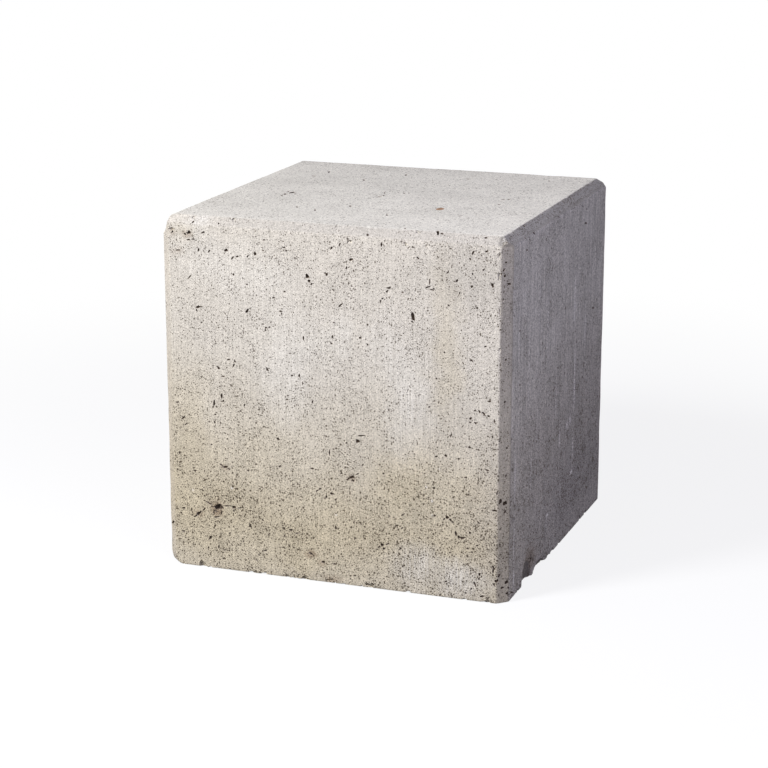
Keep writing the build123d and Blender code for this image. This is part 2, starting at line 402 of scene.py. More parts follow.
# Top, rough faces and pores: their clouds, marks and sand
SEAT_CLOUDS = 12.0
SEAT_CLOUD_TONES = (0.95, 1.04)
SEAT_RIGHT_LIFT = (-50 * MM, 200 * MM, 1.0, 1.04)
TROWEL_STRETCH = (16, 260, 1)
TROWEL_STRENGTH = 0.12
FLECK_EDGE = (0.25, 0.5)
SEAT_COVER_CLOUDS = 20.0
SEAT_COVER = (0.40, 0.60)
SEAT_SAND = {"grain": 3.0 * MM, "specks": 0.75, "shades": 0.8, "bump": 0.35 * MM}
ROUGH_CLOUDS = 60.0
ROUGH_CLOUD_TONES = (0.8, 1.1)
ROUGH_SAND = {"grain": 2.6 * MM, "cover": 0.6, "specks": 0.8, "shades": 0.9, "bump": 0.8 * MM}
PORE_LIP_END = (0.02, 0.5)
PORE_SAND = {"grain": 2 * MM, "cover": 0.5, "specks": 0.4, "shades": 0.5, "bump": 0.3 * MM}

# Sand grains: how often each pattern comes in one grain size, its strength and its edge
TONE_OFTEN = 1.5
TONE_STRENGTH = 0.28
FINE_OFTEN = 2.2
FINE_DETAIL = (1.0, 0.5)
SHADE_MIDDLE = 0.64
GAP_OFTEN = 1.8
GAP_DETAIL = (3.0, 0.7)
GAP_START = 0.705
GAP_COVER = 0.2
GAP_EDGE = 0.045
DOT_OFTEN = 0.75
DOT_LEAST = 0.55
DOT_SPREAD = 0.75
DOT_REACH = 0.075
DOT_COVER = 0.3
DOT_EDGE = 0.055
GRAIN_HEIGHT = 0.7
COARSE_GRAIN = 2.1
COARSE_COVER = 1.2
COARSE_RARITY = 0.5
COARSE_HEIGHT = 1.6
BUMP_STRENGTH = 0.7

# Light, floor and backdrop
KEY_TOWARDS = Vector((-0.44, -0.643, 0.625))
KEY_DISTANCE = 2.5
KEY_SIZE = 0.7
KEY_POWER = 66.0
KEY_COLOUR = (1, 1, 1)
SIDE_TOWARDS = Vector((0.60, -0.62, 0.58))
SIDE_DISTANCE = 1.5
SIDE_SIZE = 0.8
SIDE_POWER = 5.98
SIDE_COLOUR = (0.96, 0.95, 1.23)
FILL = (0.215, 0.212, 0.300, 1)
FLOOR_BOUNCE = 0.35
FLOOR_REACH = 30.0
FLOOR_SIDES = 96
FLOOR_PALE = (0.9, 0.9, 0.9, 1)
BACKDROP = (1, 1, 1, 1)
SHADOW_SHARE = 0.16
SHADOW_NEAR = 0.5
SHADOW_FAR = 1.4


def put(tree, kind, feeds=None, **settings):
    """Adds a node with its settings; feeds gives each input a value, or a socket to link from."""
    made = tree.nodes.new(kind)
    for name, value in settings.items():
        setattr(made, name, value)
    for name, value in (feeds or {}).items():
        if isinstance(value, bpy.types.NodeSocket):
            tree.links.new(value, made.inputs[name])
        else:
            made.inputs[name].default_value = value
    return made


def calc(tree, operation, first, second=0.0):
    """A sum on one or two numbers."""
    return put(tree, "ShaderNodeMath", {0: first, 1: second}, operation=operation).outputs[0]


def vector_calc(tree, operation, first, second=(0, 0, 0)):
    """A sum on one or two vectors."""
    made = put(tree, "ShaderNodeVectorMath", {0: first, 1: second}, operation=operation)
    return made.outputs["Value"] if operation == "LENGTH" else made.outputs["Vector"]


def ease(tree, value, low, high, out_low=0.0, out_high=1.0):
    """A smooth step from low to high."""
    feeds = {"Value": value, "From Min": low, "From Max": high, "To Min": out_low, "To Max": out_high}
    return put(tree, "ShaderNodeMapRange", feeds, interpolation_type="SMOOTHSTEP").outputs["Result"]


def cloud(tree, vector, scale, detail=2.0, rough=0.55):
    """Noise from about 0 to 1, as a node with Fac and Color."""
    feeds = {"Vector": vector, "Scale": scale, "Detail": detail, "Roughness": rough}
    return put(tree, "ShaderNodeTexNoise", feeds).outputs


def blend(tree, share, first, second, way="MIX"):
    """Two colours mixed."""
    feeds = {"Factor": share, 6: first, 7: second}
    return put(tree, "ShaderNodeMix", feeds, data_type="RGBA", blend_type=way).outputs[2]


def product(tree, *numbers):
    """Several numbers multiplied."""
    result = numbers[0]
    for number in numbers[1:]:
        result = calc(tree, "MULTIPLY", result, number)
    return result


def total(tree, *numbers):
    """Several numbers added up."""
    result = numbers[0]
    for number in numbers[1:]:
        result = calc(tree, "ADD", result, number)
    return result


def between(tree, mask, none, full):
    """A number that goes smoothly from none to full as a mask goes from 0 to 1."""
    return ease(tree, mask, 0.0, 1.0, none, full)


def mottle(tree, place, scale, low, high, detail=3.0):
    """Soft clouds from a low number to a high one."""
    soft = cloud(tree, place, scale, detail, CLOUD_ROUGH)["Fac"]
    return ease(tree, soft, CLOUD_LOW, CLOUD_HIGH, low, high)


def photo_ray(x, y):
    """The direction from the camera through a pixel of the photo."""
    focal = LENS / SENSOR * IMAGE_SIDE
    local = Vector(((x - IMAGE_SIDE / 2) / focal, (IMAGE_SIDE / 2 - y) / focal, -1))
    return (CAMERA_TURN @ local).normalized()


def cad_surface():
    """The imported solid's surface, for finding places on it."""
    mesh = frame["nodes"][BLOCK_NODE].data
    corners = [v.co.copy() for v in mesh.vertices]
    return BVHTree.FromPolygons(corners, [tuple(p.vertices) for p in mesh.polygons])


def photo_place(surface, x, y):
    """Where a pixel of the photo falls on the block: the place and the outward direction."""
    place, outward, _, _ = surface.ray_cast(CAMERA_PLACE, photo_ray(x, y))
    return place, outward


def photo_span(place, outward, x, y, pixels, slant):
    """A length in pixels at a slant, as a vector along the surface at a place."""
    turn = math.radians(slant)
    ray = photo_ray(x + pixels * math.cos(turn), y - pixels * math.sin(turn))
    reach = (place - CAMERA_PLACE).dot(outward) / ray.dot(outward)
    return CAMERA_PLACE + ray * reach - place


def smooth_max(first, second, soft):
    """The larger of two distances, rounded where they are alike."""
    near = np.maximum(soft - np.abs(first - second), 0) / soft
    return np.maximum(first, second) + near * near * soft / 4


def block_field(points, wear):
    """Distance outside the block's skin, below zero inside: flat faces with worn, rounded creases."""
    x = np.abs(points[:, 0]) - HALF_SIDE
    y = np.abs(points[:, 1]) - HALF_SIDE
    top = points[:, 2] - HEIGHT
    slope = math.hypot(RIM_REACH, RIM_DROP)
    field = smooth_max(x, (x + y + CORNER_LEG) / math.sqrt(2), wear)
    field = smooth_max(field, y, wear)
    for side in (x, y):
        rim = (side * RIM_DROP + top * RIM_REACH + RIM_DROP * RIM_REACH) / slope
        field = smooth_max(field, rim, wear)
    field = smooth_max(field, top, wear)
    field = smooth_max(field, -points[:, 2], BASE_ROUND)
    return smooth_max(field, worn_foot(points), FOOT_ROUND)


def worn_foot(points):
    """Distance outside the slanted face that is worn on the front left corner's foot."""
    outward = 2 * HALF_SIDE - CORNER_LEG + points[:, 0] + points[:, 1]
    slant = math.hypot(FOOT_RISE, FOOT_REACH)
    across = FOOT_REACH - outward / math.sqrt(2)
    return (across * FOOT_RISE - points[:, 2] * FOOT_REACH) / slant


def arris_wear(points):
    """How far the creases are rounded at each point: uneven, and worst where the noise is high."""
    high = np.array([noise.noise(Vector(p) / ARRIS_GRAIN) for p in points])
    return ARRIS_ROUND + ARRIS_WEAR * np.clip(high, 0, 1)


def grid_lines(low, high, low_lines, high_lines):
    """Grid lines across one side of the block: close at both edges and even between."""
    start = low + low_lines[-1]
    end = high - high_lines[-1]
    middle = np.linspace(start, end, round((end - start) / SKIN_STEP) + 1)[1:-1]
    return [low + d for d in low_lines] + list(middle) + [high - d for d in reversed(high_lines)]


def box_grid(xs, ys, zs):
    """A closed box of quads on three sets of grid lines, facing outwards."""
    numbers = {}

    def corner(i, j, k):
        return numbers.setdefault((i, j, k), len(numbers))

    ends = (len(xs) - 1, len(ys) - 1, len(zs) - 1)
    quads = []
    for axis in range(3):
        u, v = (axis + 1) % 3, (axis + 2) % 3
        for side in (0, ends[axis]):
            for a in range(ends[u]):
                for b in range(ends[v]):
                    ring = []
                    for da, db in ((0, 0), (1, 0), (1, 1), (0, 1)):
                        spot = [0, 0, 0]
                        spot[axis] = side
                        spot[u] = a + da
                        spot[v] = b + db
                        ring.append(corner(*spot))
                    quads.append(ring if side else ring[::-1])
    points = [(xs[i], ys[j], zs[k]) for i, j, k in numbers]
    return np.array(points), quads


def settle(points, wear):
    """Moves points along the slope of the field until they lie on the block's skin."""
    for _ in range(SETTLE_ROUNDS):
        field = block_field(points, wear)
        slope = np.zeros_like(points)
        for axis in range(3):
            step = np.zeros(3)
            step[axis] = FIELD_STEP
            ahead = block_field(points + step, wear)
            behind = block_field(points - step, wear)
            slope[:, axis] = (ahead - behind) / (2 * FIELD_STEP)
        steep = np.maximum((slope**2).sum(1), LEAST_SLOPE)
        points = points - slope * (field / steep)[:, None]
    return points


def knock_edges(points, surface):
    """Moves points off the knocked and chipped places onto the solid's broken face; marks the knocked."""
    broken = np.zeros(len(points), bool)
    low = points[:, 2] < KNOCK_HEIGHT
    chipped = np.linalg.norm(points - np.array(CHIP_PLACE), axis=1) < CHIP_REACH
    for number in np.flatnonzero(low | chipped):
        point = Vector(points[number])
        place, outward, _, _ = surface.find_nearest(point)
        if (point - place).dot(outward) > KNOCK_CLEAR:
            rough = KNOCK_ROUGH * (KNOCK_EVEN + noise.noise(point / KNOCK_GRAIN))
            points[number] = place - outward * max(rough, 0)
            points[number][2] = max(points[number][2], 0)
            broken[number] = low[number]
    return broken


def finish_of(normal, is_broken):
    """The name of the finish on a face, from where it points."""
    if is_broken:
        return "broken"
    if normal.z > SEAT_SLANT:
        return "seat"
    return "bed" if normal.z < BED_SLANT else "wall"


def pore_share(finish, face):
    """How many random pores a face has: few on the walls that the photo shows, whose own are placed."""
    if finish == "wall" and face.normal.x - face.normal.y > SHOWN_SLANT:
        return SHOWN_WALL_SHARE + SHOWN_FOOT_SHARE * max(1 - face.center.z / FOOT_BAND, 0)
    return PORE_SHARES[finish]


def crumb_share(middle):
    """How crumbled a face is: fully along the base edge, a little along the creases."""
    sides = sorted((HALF_SIDE - abs(middle.x), HALF_SIDE - abs(middle.y), HEIGHT - middle.z))
    if middle.z < CRUMB_BAND and sides[0] < CRUMB_BAND:
        return 1.0
    near_crease = abs(sides[0]) < CRUMB_BAND and abs(sides[1] - CORNER_LEG) < CRUMB_BAND
    return CREASE_CRUMB_SHARE if near_crease else 0.0


def skin_block(surface, materials):
    """The block's skin as a mesh: worn creases and knocked edges, with its finishes and shares by face."""
    sides = grid_lines(-HALF_SIDE, HALF_SIDE, CREASE_LINES, CREASE_LINES)
    deep = grid_lines(-HALF_SIDE, HALF_SIDE, CREASE_LINES + SPALL_LINES, CREASE_LINES)
    ups = grid_lines(0, HEIGHT, BASE_LINES, CREASE_LINES)
    points, quads = box_grid(sides, deep, ups)
    points = settle(points, arris_wear(points))
    broken = knock_edges(points, surface)
    mesh = bpy.data.meshes.new("block_skin")
    mesh.from_pydata([tuple(p) for p in points], [], quads)
    names = list(materials)
    for name in names:
        mesh.materials.append(materials[name])
    pores = mesh.attributes.new("pore_share", "FLOAT", "FACE")
    crumbs = mesh.attributes.new("crumb_share", "FLOAT", "FACE")
    for face in mesh.polygons:
        finish = finish_of(face.normal, all(broken[v] for v in face.vertices))
        face.material_index = names.index(finish)
        pores.data[face.index].value = pore_share(finish, face)
        crumbs.data[face.index].value = crumb_share(face.center)
    skin = bpy.data.objects.new("garden_seating_block", mesh)
    bpy.context.scene.collection.objects.link(skin)
    return skin


def lumps(name, rings, count, material):
    """A collection of rough round lumps that cut pores and crumbs."""
    shelf = bpy.data.collections.new(name)
    bpy.context.scene.collection.children.link(shelf)
    for number in range(count):
        shape = bmesh.new()
        bmesh.ops.create_icosphere(shape, subdivisions=rings, radius=1)
        for corner in shape.verts:
            at = corner.co * LUMP_GRAIN + Vector((LUMP_APART * number, LUMP_START, rings))
            bulge = LUMP_BULGE * noise.noise(at)
            corner.co *= 1 + bulge + LUMP_ROUGH * noise.noise(at * LUMP_ROUGH_GRAIN)
        mesh = bpy.data.meshes.new(f"{name}_{number}")
        shape.to_mesh(mesh)
        shape.free()
        mesh.materials.append(material)
        shelf.objects.link(bpy.data.objects.new(f"{name}_{number}", mesh))
    return shelf


def placed_lumps(name, surface, table):
    """The photo's own pores or chips as points, each with the turn and size of its lump."""
    places = []
    turns = []
    sizes = []
    for x, y, long, short, slant in table:
        place, outward = photo_place(surface, x, y)
        along = photo_span(place, outward, x, y, long / 2, slant)
        across = photo_span(place, outward, x, y, short / 2, slant + 90)
        side = outward.cross(along).normalized()
        turn = Matrix((along.normalized(), side, outward)).transposed()
        breadth = abs(across.dot(side))
        places.append(tuple(place))
        turns.append(tuple(turn.to_euler()))
        sizes.append((along.length, breadth, breadth + PLACED_LEAST_DEPTH))
    mesh = bpy.data.meshes.new(name)
    mesh.from_pydata(places, [], [])
    for label, values in (("turn", turns), ("size", sizes)):
        held = mesh.attributes.new(label, "FLOAT_VECTOR", "POINT")
        held.data.foreach_set("vector", [n for value in values for n in value])
    made = bpy.data.objects.new(name, mesh)
    bpy.context.scene.collection.objects.link(made)
    return made


def named(tree, name, kind):
    """A named attribute's values."""
    return put(tree, "GeometryNodeInputNamedAttribute", {"Name": name}, data_type=kind).outputs["Attribute"]


def chance(tree, low, high, seed, kind="FLOAT"):
    """A random number or vector for each point."""
    made = put(tree, "FunctionNodeRandomValue", data_type=kind)
    ends = {"FLOAT": ("Min_001", "Max_001", "Value_001"), "FLOAT_VECTOR": ("Min", "Max", "Value")}[kind]
    by_name = {s.identifier: s for s in made.inputs}
    by_name[ends[0]].default_value = low
    by_name[ends[1]].default_value = high
    tree.links.new(seed, by_name["Seed"])
    return next(s for s in made.outputs if s.identifier == ends[2])


def lump_at(tree, points, shelf, turn, size):
    """Lumps from a collection, picked in turn, on points."""
    shapes = put(tree, "GeometryNodeCollectionInfo", {"Collection": shelf, "Separate Children": True})
    feeds = {"Points": points, "Instance": shapes.outputs[0], "Pick Instance": True}
    feeds["Rotation"] = turn
    feeds["Scale"] = size
    return put(tree, "GeometryNodeInstanceOnPoints", feeds).outputs["Instances"]


def placed_at(tree, points, shelf):
    """Lumps on an object's points, with the turn and size kept at each."""
    spots = put(tree, "GeometryNodeObjectInfo", {"Object": points}).outputs["Geometry"]
    turn = put(tree, "FunctionNodeEulerToRotation", {0: named(tree, "turn", "FLOAT_VECTOR")}).outputs[0]
    return lump_at(tree, spots, shelf, turn, named(tree, "size", "FLOAT_VECTOR"))


def scatter(tree, skin, share, each_m2, spacing, least, largest, rarity, shelf, seed):
    """Lumps at random on the skin, many small and few large, as dense as the named share says."""
    feeds = {"Mesh": skin, "Distance Min": spacing, "Density Max": each_m2}
    feeds["Density Factor"] = named(tree, share, "FLOAT")
    feeds["Seed"] = seed
    spread = put(tree, "GeometryNodeDistributePointsOnFaces", feeds, distribute_method="POISSON").outputs
    rare = calc(tree, "POWER", chance(tree, 0.0, 1.0, seed), rarity)
    radius = total(tree, product(tree, rare, calc(tree, "SUBTRACT", largest, least)), least)
    radius = product(tree, radius, between(tree, named(tree, share, "FLOAT"), SPARSE_SIZE, 1.0))
    shape = chance(tree, LUMP_SLIMMEST, LUMP_FULLEST, seed, "FLOAT_VECTOR")
    size = put(tree, "ShaderNodeVectorMath", {0: shape, "Scale": radius}, operation="SCALE").outputs[0]
    spin = put(tree, "ShaderNodeCombineXYZ", {"Z": chance(tree, 0.0, 2 * math.pi, seed)}).outputs[0]
    turned = put(tree, "FunctionNodeEulerToRotation", {0: spin}).outputs[0]
    feeds = {"Rotation": spread["Rotation"], "Rotate By": turned}
    turn = put(tree, "FunctionNodeRotateRotation", feeds, rotation_space="LOCAL").outputs[0]
    return lump_at(tree, spread["Points"], shelf, turn, size)


def pore_tree(small_lumps, fine_lumps, crumb_lumps, pits, chips, pore_finish):
    """Geometry nodes that open pores and crumbled edges in the block's skin."""
    tree = bpy.data.node_groups.new("Open pores", "GeometryNodeTree")
    face = tree.interface
    face.new_socket("Geometry", in_out="OUTPUT", socket_type="NodeSocketGeometry")
    face.new_socket("Geometry", in_out="INPUT", socket_type="NodeSocketGeometry")
    for name in (*PORE_INPUTS, *CRUMB_INPUTS):
        face.new_socket(name, in_out="INPUT", socket_type="NodeSocketFloat")
    face.new_socket("Seed", in_out="INPUT", socket_type="NodeSocketInt")
    given = put(tree, "NodeGroupInput").outputs
    seed = given["Seed"]
    skin = given["Geometry"]
    pore_sizes = [given[name] for name in PORE_INPUTS]
    crumb_sizes = [given[name] for name in CRUMB_INPUTS]
    pores = scatter(tree, skin, "pore_share", *pore_sizes, PORE_RARITY, small_lumps, seed)
    next_seed = calc(tree, "ADD", seed, 1.0)
    crumbs = scatter(tree, skin, "crumb_share", *crumb_sizes, CRUMB_RARITY, crumb_lumps, next_seed)
    opened = placed_at(tree, pits, fine_lumps)
    chipped = placed_at(tree, chips, crumb_lumps)
    cut = put(tree, "GeometryNodeMeshBoolean", {"Mesh 1": skin}, operation="DIFFERENCE", solver="MANIFOLD")
    for cutters in (pores, crumbs, opened, chipped):
        tree.links.new(cutters, cut.inputs["Mesh 2"])
    solid = put(tree, "GeometryNodeRealizeInstances", {"Geometry": cut.outputs["Mesh"]}).outputs[0]
    hollow = put(tree, "GeometryNodeMaterialSelection", {"Material": pore_finish}).outputs[0]
    feeds = {"Geometry": solid, "Selection": hollow, "Material": pore_finish}
    done = put(tree, "GeometryNodeSetMaterial", feeds).outputs[0]
    put(tree, "NodeGroupOutput", {"Geometry": done})
    return tree


def open_pores(skin, tree):
    """Runs the pore tree on the skin and keeps its result as a plain mesh."""
    sizes = {**PORE_INPUTS, **CRUMB_INPUTS, "Seed": SEED}
    modifier = skin.modifiers.new("Open pores", "NODES")
    modifier.node_group = tree
    for socket in tree.interface.items_tree:
        if socket.in_out == "INPUT" and socket.name in sizes:
            modifier[socket.identifier] = sizes[socket.name]
    seen = skin.evaluated_get(bpy.context.evaluated_depsgraph_get())
    mesh = bpy.data.meshes.new_from_object(seen)
    skin.modifiers.clear()
    skin.data = mesh
    return mesh


def mark_hollows(mesh):
    """Keeps at each point how deep it lies under the skin, and shades smooth between sharp edges."""
    points = np.empty(len(mesh.vertices) * 3)
    mesh.vertices.foreach_get("co", points)
    points = points.reshape(-1, 3)
    depth = -block_field(points, np.full(len(points), ARRIS_ROUND))
    held = mesh.attributes.new("hollow", "FLOAT", "POINT")
    held.data.foreach_set("value", np.clip(depth / HOLLOW_DEPTH, 0, 1).astype(np.float32))
    mesh.polygons.foreach_set("use_smooth", [True] * len(mesh.polygons))
    mesh.set_sharp_from_angle(angle=SHARP_ANGLE)


def group(name, takes, gives):
    """An empty shader group with named sockets: its tree and its inputs."""
    tree = bpy.data.node_groups.new(name, "ShaderNodeTree")
    for label, kind in takes.items():
        tree.interface.new_socket(label, in_out="INPUT", socket_type=kind)
    for label in gives:
        tree.interface.new_socket(label, in_out="OUTPUT", socket_type="NodeSocketFloat")
    return tree, put(tree, "NodeGroupInput").outputs


def grain_cells(tree, place, scale):
    """Cells of about a grain each: the distance from the middle of one, and its own random number."""
    cells = put(tree, "ShaderNodeTexVoronoi", {"Vector": place, "Scale": scale}).outputs
    own = put(tree, "ShaderNodeSeparateColor", {0: cells["Color"]}).outputs["Red"]
    return cells["Distance"], own


def sand_grain():
    """Sand in the skin: gaps between grains darkened as painted shade, paler and darker grains, and their
    height.
    """
    takes = {"Vector": "NodeSocketVector", "Grain": "NodeSocketFloat", "Cover": "NodeSocketFloat"}
    tree, given = group("Sand grain", takes, ("Speck", "Shade", "Height"))
    place = given["Vector"]
    often = calc(tree, "DIVIDE", 1.0, given["Grain"])
    _, tone = grain_cells(tree, place, product(tree, often, TONE_OFTEN))
    fine = cloud(tree, place, product(tree, often, FINE_OFTEN), *FINE_DETAIL)["Fac"]
    shade = calc(tree, "SUBTRACT", total(tree, product(tree, tone, TONE_STRENGTH), fine), SHADE_MIDDLE)
    start = calc(tree, "SUBTRACT", GAP_START, product(tree, given["Cover"], GAP_COVER))
    gaps = cloud(tree, place, product(tree, often, GAP_OFTEN), *GAP_DETAIL)["Fac"]
    gap = ease(tree, gaps, start, total(tree, start, GAP_EDGE))
    distance, own = grain_cells(tree, place, product(tree, often, DOT_OFTEN))
    uneven = total(tree, product(tree, own, DOT_SPREAD), DOT_LEAST)
    reach = product(tree, total(tree, product(tree, given["Cover"], DOT_COVER), DOT_REACH), uneven)
    dot = ease(tree, distance, calc(tree, "SUBTRACT", reach, DOT_EDGE), reach, 1.0, 0.0)
    speck = calc(tree, "MAXIMUM", gap, dot)
    height = calc(tree, "SUBTRACT", product(tree, shade, GRAIN_HEIGHT), speck)
    put(tree, "NodeGroupOutput", {"Speck": speck, "Shade": shade, "Height": height})
    return tree


def drag_marks():
    """Upright marks that the mould box drags down the walls."""
    takes = {"Vector": "NodeSocketVector", "Spacing": "NodeSocketFloat", "Length": "NodeSocketFloat"}
    tree, given = group("Drag marks", takes, ("Streak",))
    across = calc(tree, "DIVIDE", 1.0, given["Spacing"])
    down = calc(tree, "DIVIDE", 1.0, given["Length"])
    scale = put(tree, "ShaderNodeCombineXYZ", {"X": across, "Y": across, "Z": down}).outputs[0]
    stretched = vector_calc(tree, "MULTIPLY", given["Vector"], scale)
    streak = calc(tree, "SUBTRACT", cloud(tree, stretched, 1.0, 2.0, CLOUD_ROUGH)["Fac"], NOISE_MIDDLE)
    put(tree, "NodeGroupOutput", {"Streak": streak})
    return tree


def soft_patch():
    """A soft-edged patch round a place on the block."""
    takes = {"Vector": "NodeSocketVector", "Centre": "NodeSocketVector", "Reach": "NodeSocketVector"}
    tree, given = group("Soft patch", takes, ("Mask",))
    away = vector_calc(tree, "SUBTRACT", given["Vector"], given["Centre"])
    away = vector_calc(tree, "DIVIDE", away, given["Reach"])
    mask = ease(tree, vector_calc(tree, "LENGTH", away), *PATCH_FADE, 1.0, 0.0)
    put(tree, "NodeGroupOutput", {"Mask": mask})
    return tree


def use(tree, shared, feeds):
    """A shared group placed in a material, with its own values."""
    return put(tree, "ShaderNodeGroup", feeds, node_tree=shared).outputs


def patches(tree, shared, surface, table, vector):
    """Several soft patches from a table of photo places, added up."""
    covered = 0.0
    for x, y, wide, tall, strength in table:
        place, outward = photo_place(surface, x, y)
        level = Vector((0, 0, 1)).cross(outward)
        side = abs(photo_span(place, outward, x, y, wide, 0).dot(level))
        up = photo_span(place, outward, x, y, tall, 90).length
        reach = [side * abs(level[n]) + PATCH_THICKNESS * abs(outward[n]) for n in range(2)]
        feeds = {"Vector": vector, "Centre": place, "Reach": (*reach, up)}
        mask = use(tree, shared["patch"], feeds)["Mask"]
        covered = total(tree, product(tree, mask, strength), covered)
    return put(tree, "ShaderNodeClamp", {"Value": covered}).outputs[0]


def new_material(name):
    """A matt material: its tree, its shader and its object coordinates."""
    made = bpy.data.materials.new(name)
    made.use_nodes = True
    tree = made.node_tree
    shader = tree.nodes["Principled BSDF"]
    shader.inputs["Roughness"].default_value = SKIN_ROUGHNESS
    shader.inputs["Specular IOR Level"].default_value = SKIN_SHINE
    place = put(tree, "ShaderNodeTexCoord").outputs["Object"]
    return made, tree, shader, place


def wandering(tree, place, reach, scale):
    """Object coordinates pushed about by noise, so that soft edges are uneven."""
    drift = cloud(tree, place, scale, 3.0, CLOUD_ROUGH)["Color"]
    push = vector_calc(tree, "SUBTRACT", drift, (NOISE_MIDDLE, NOISE_MIDDLE, NOISE_MIDDLE))
    return vector_calc(tree, "ADD", place, vector_calc(tree, "MULTIPLY", push, (reach, reach, reach)))


def times(tree, colour, number):
    """A colour made lighter or darker by a number."""
    feeds = {"Red": number, "Green": number, "Blue": number}
    grey = put(tree, "ShaderNodeCombineColor", feeds).outputs[0]
    return blend(tree, 1.0, colour, grey, "MULTIPLY")


def dress(tree, shader, shared, place, colour, grain, cover, specks, shades, bump):
    """The sandy finish that every face shares: fine and coarse grain in colour and bump."""
    sand = use(tree, shared["sand"], {"Vector": place, "Grain": grain, "Cover": cover})
    feeds = {"Vector": place, "Grain": product(tree, grain, COARSE_GRAIN)}
    feeds["Cover"] = calc(tree, "SUBTRACT", product(tree, cover, COARSE_COVER), COARSE_RARITY)
    coarse = use(tree, shared["sand"], feeds)
    colour = times(tree, colour, total(tree, product(tree, sand["Shade"], shades), 1.0))
    speck = product(tree, calc(tree, "MAXIMUM", sand["Speck"], coarse["Speck"]), specks)
    # The sand's gaps darkened: painted shade in tiny hollows
    colour = blend(tree, speck, colour, SPECK_SHADE)
    tree.links.new(colour, shader.inputs["Base Color"])
    height = total(tree, sand["Height"], product(tree, coarse["Height"], COARSE_HEIGHT))
    feeds = {"Height": height, "Distance": bump, "Strength": BUMP_STRENGTH}
    tree.links.new(put(tree, "ShaderNodeBump", feeds).outputs[0], shader.inputs["Normal"])


def chamfer_bands():
    """Where the sloping rim and the sliced corners lie: soft masks from the place on the block."""
    tree, given = group("Chamfer bands", {"Vector": "NodeSocketVector"}, ("Rim", "Corner"))
    spot = put(tree, "ShaderNodeSeparateXYZ", {0: given["Vector"]}).outputs
    x = calc(tree, "ABSOLUTE", spot["X"])
    y = calc(tree, "ABSOLUTE", spot["Y"])
    slope = RIM_DROP / RIM_REACH
    rim_start = HALF_SIDE * slope + RIM_FOOT
    outer = total(tree, product(tree, calc(tree, "MAXIMUM", x, y), slope), spot["Z"])
    rim = ease(tree, outer, rim_start - BAND_DEPTH, rim_start - BAND_DEPTH / 2)
    rim = product(tree, rim, ease(tree, spot["Z"], RIM_FOOT + BAND_LAP, RIM_FOOT + RIM_FADE))
    corner_start = 2 * HALF_SIDE - CORNER_LEG
    corner = ease(tree, total(tree, x, y), corner_start - BAND_DEPTH, corner_start - BAND_DEPTH / 2)
    inner = HALF_SIDE - CORNER_LEG
    nearer = calc(tree, "MINIMUM", x, y)
    corner = product(tree, corner, ease(tree, nearer, inner - BAND_LAP, inner + BAND_EDGE))
    put(tree, "NodeGroupOutput", {"Rim": rim, "Corner": corner})
    return tree


def wall_masks(tree, shared, surface, place, roaming):
    """Soft masks on the walls by name: their sides and chamfers, warmth, painted shade on the right wall's
    lower back and brown corner.
    """
    spot = put(tree, "ShaderNodeSeparateXYZ", {0: place}).outputs
    bands = use(tree, shared["bands"], {"Vector": place})
    rim = bands["Rim"]
    corner = bands["Corner"]
    flat = calc(tree, "SUBTRACT", 1.0, calc(tree, "MAXIMUM", rim, corner))
    right = product(tree, ease(tree, spot["X"], *RIGHT_WALL_START), flat)
    shaded = product(tree, ease(tree, spot["X"], *RIGHT_RIM_START), rim)
    height = put(tree, "ShaderNodeSeparateXYZ", {0: wandering(tree, place, *WARM_DRIFT)}).outputs["Z"]
    warm = product(tree, ease(tree, height, *WARM_RISE), between(tree, right, FRONT_WARMTH, RIGHT_WARMTH))
    warm = product(tree, warm, between(tree, corner, 1.0, CORNER_WARMTH), ease(tree, height, *FOOT_WARMTH))
    # Painted shade towards the right wall's lower back
    right_shade = patches(tree, shared, surface, RIGHT_SHADE_PX, roaming)
    brown = product(tree, patches(tree, shared, surface, BROWN_CORNER_PX, place), corner)
    masks = {"across": spot["X"], "up": spot["Z"], "rim": rim, "corner": corner, "right": right}
    masks.update({"shaded": shaded, "warm": warm, "right_shade": right_shade, "brown": brown})
    return masks


def walls_with_wear_and_painted_shade(tree, shared, surface, place, roaming, masks):
    """The walls' colour: warm at the foot, with stains, bloom, drag marks, darker patches and scratches,
    and painted shade: a cool tint up the right wall and darkening at its lower back.
    """
    colour = blend(tree, masks["warm"], PALE_SKIN, WARM_STAIN)
    stain = patches(tree, shared, surface, STAIN_PX, roaming)
    colour = blend(tree, product(tree, stain, STAIN_STRENGTH), colour, WARM_STAIN)
    fine = use(tree, shared["drag"], {"Vector": place, **FINE_DRAG})["Streak"]
    broad = use(tree, shared["drag"], {"Vector": place, **BROAD_DRAG})["Streak"]
    bloom = patches(tree, shared, surface, BLOOM_PX, roaming)
    bloom = product(tree, bloom, total(tree, BLOOM_EVEN, product(tree, fine, BLOOM_STREAKS)))
    colour = blend(tree, bloom, colour, BLOOM)
    both = total(tree, product(tree, broad, RIGHT_BROAD_DRAG), product(tree, fine, RIGHT_FINE_DRAG))
    drag = total(tree, product(tree, fine, DRAG_STRENGTH), product(tree, both, masks["right"]), 1.0)
    colour = times(tree, colour, drag)
    # Painted cool shade light rising up the right wall
    cool = product(tree, ease(tree, masks["up"], *COOL_RISE), masks["right"])
    colour = blend(tree, cool, colour, COOL_FILL_TINT, "MULTIPLY")
    # Darker patches
    darker_patch = patches(tree, shared, surface, DARKER_PATCHES_PX, roaming)
    colour = times(tree, colour, between(tree, darker_patch, 1.0, DARKER_PATCH_TONE))
    # Painted shade towards the right wall's lower back
    colour = blend(tree, masks["right_shade"], colour, RIGHT_SHADE_TONE)
    scratch = patches(tree, shared, surface, SCRATCH_PX, wandering(tree, place, *SCRATCH_DRIFT))
    return blend(tree, product(tree, scratch, SCRATCH_STRENGTH), colour, SCRATCH)


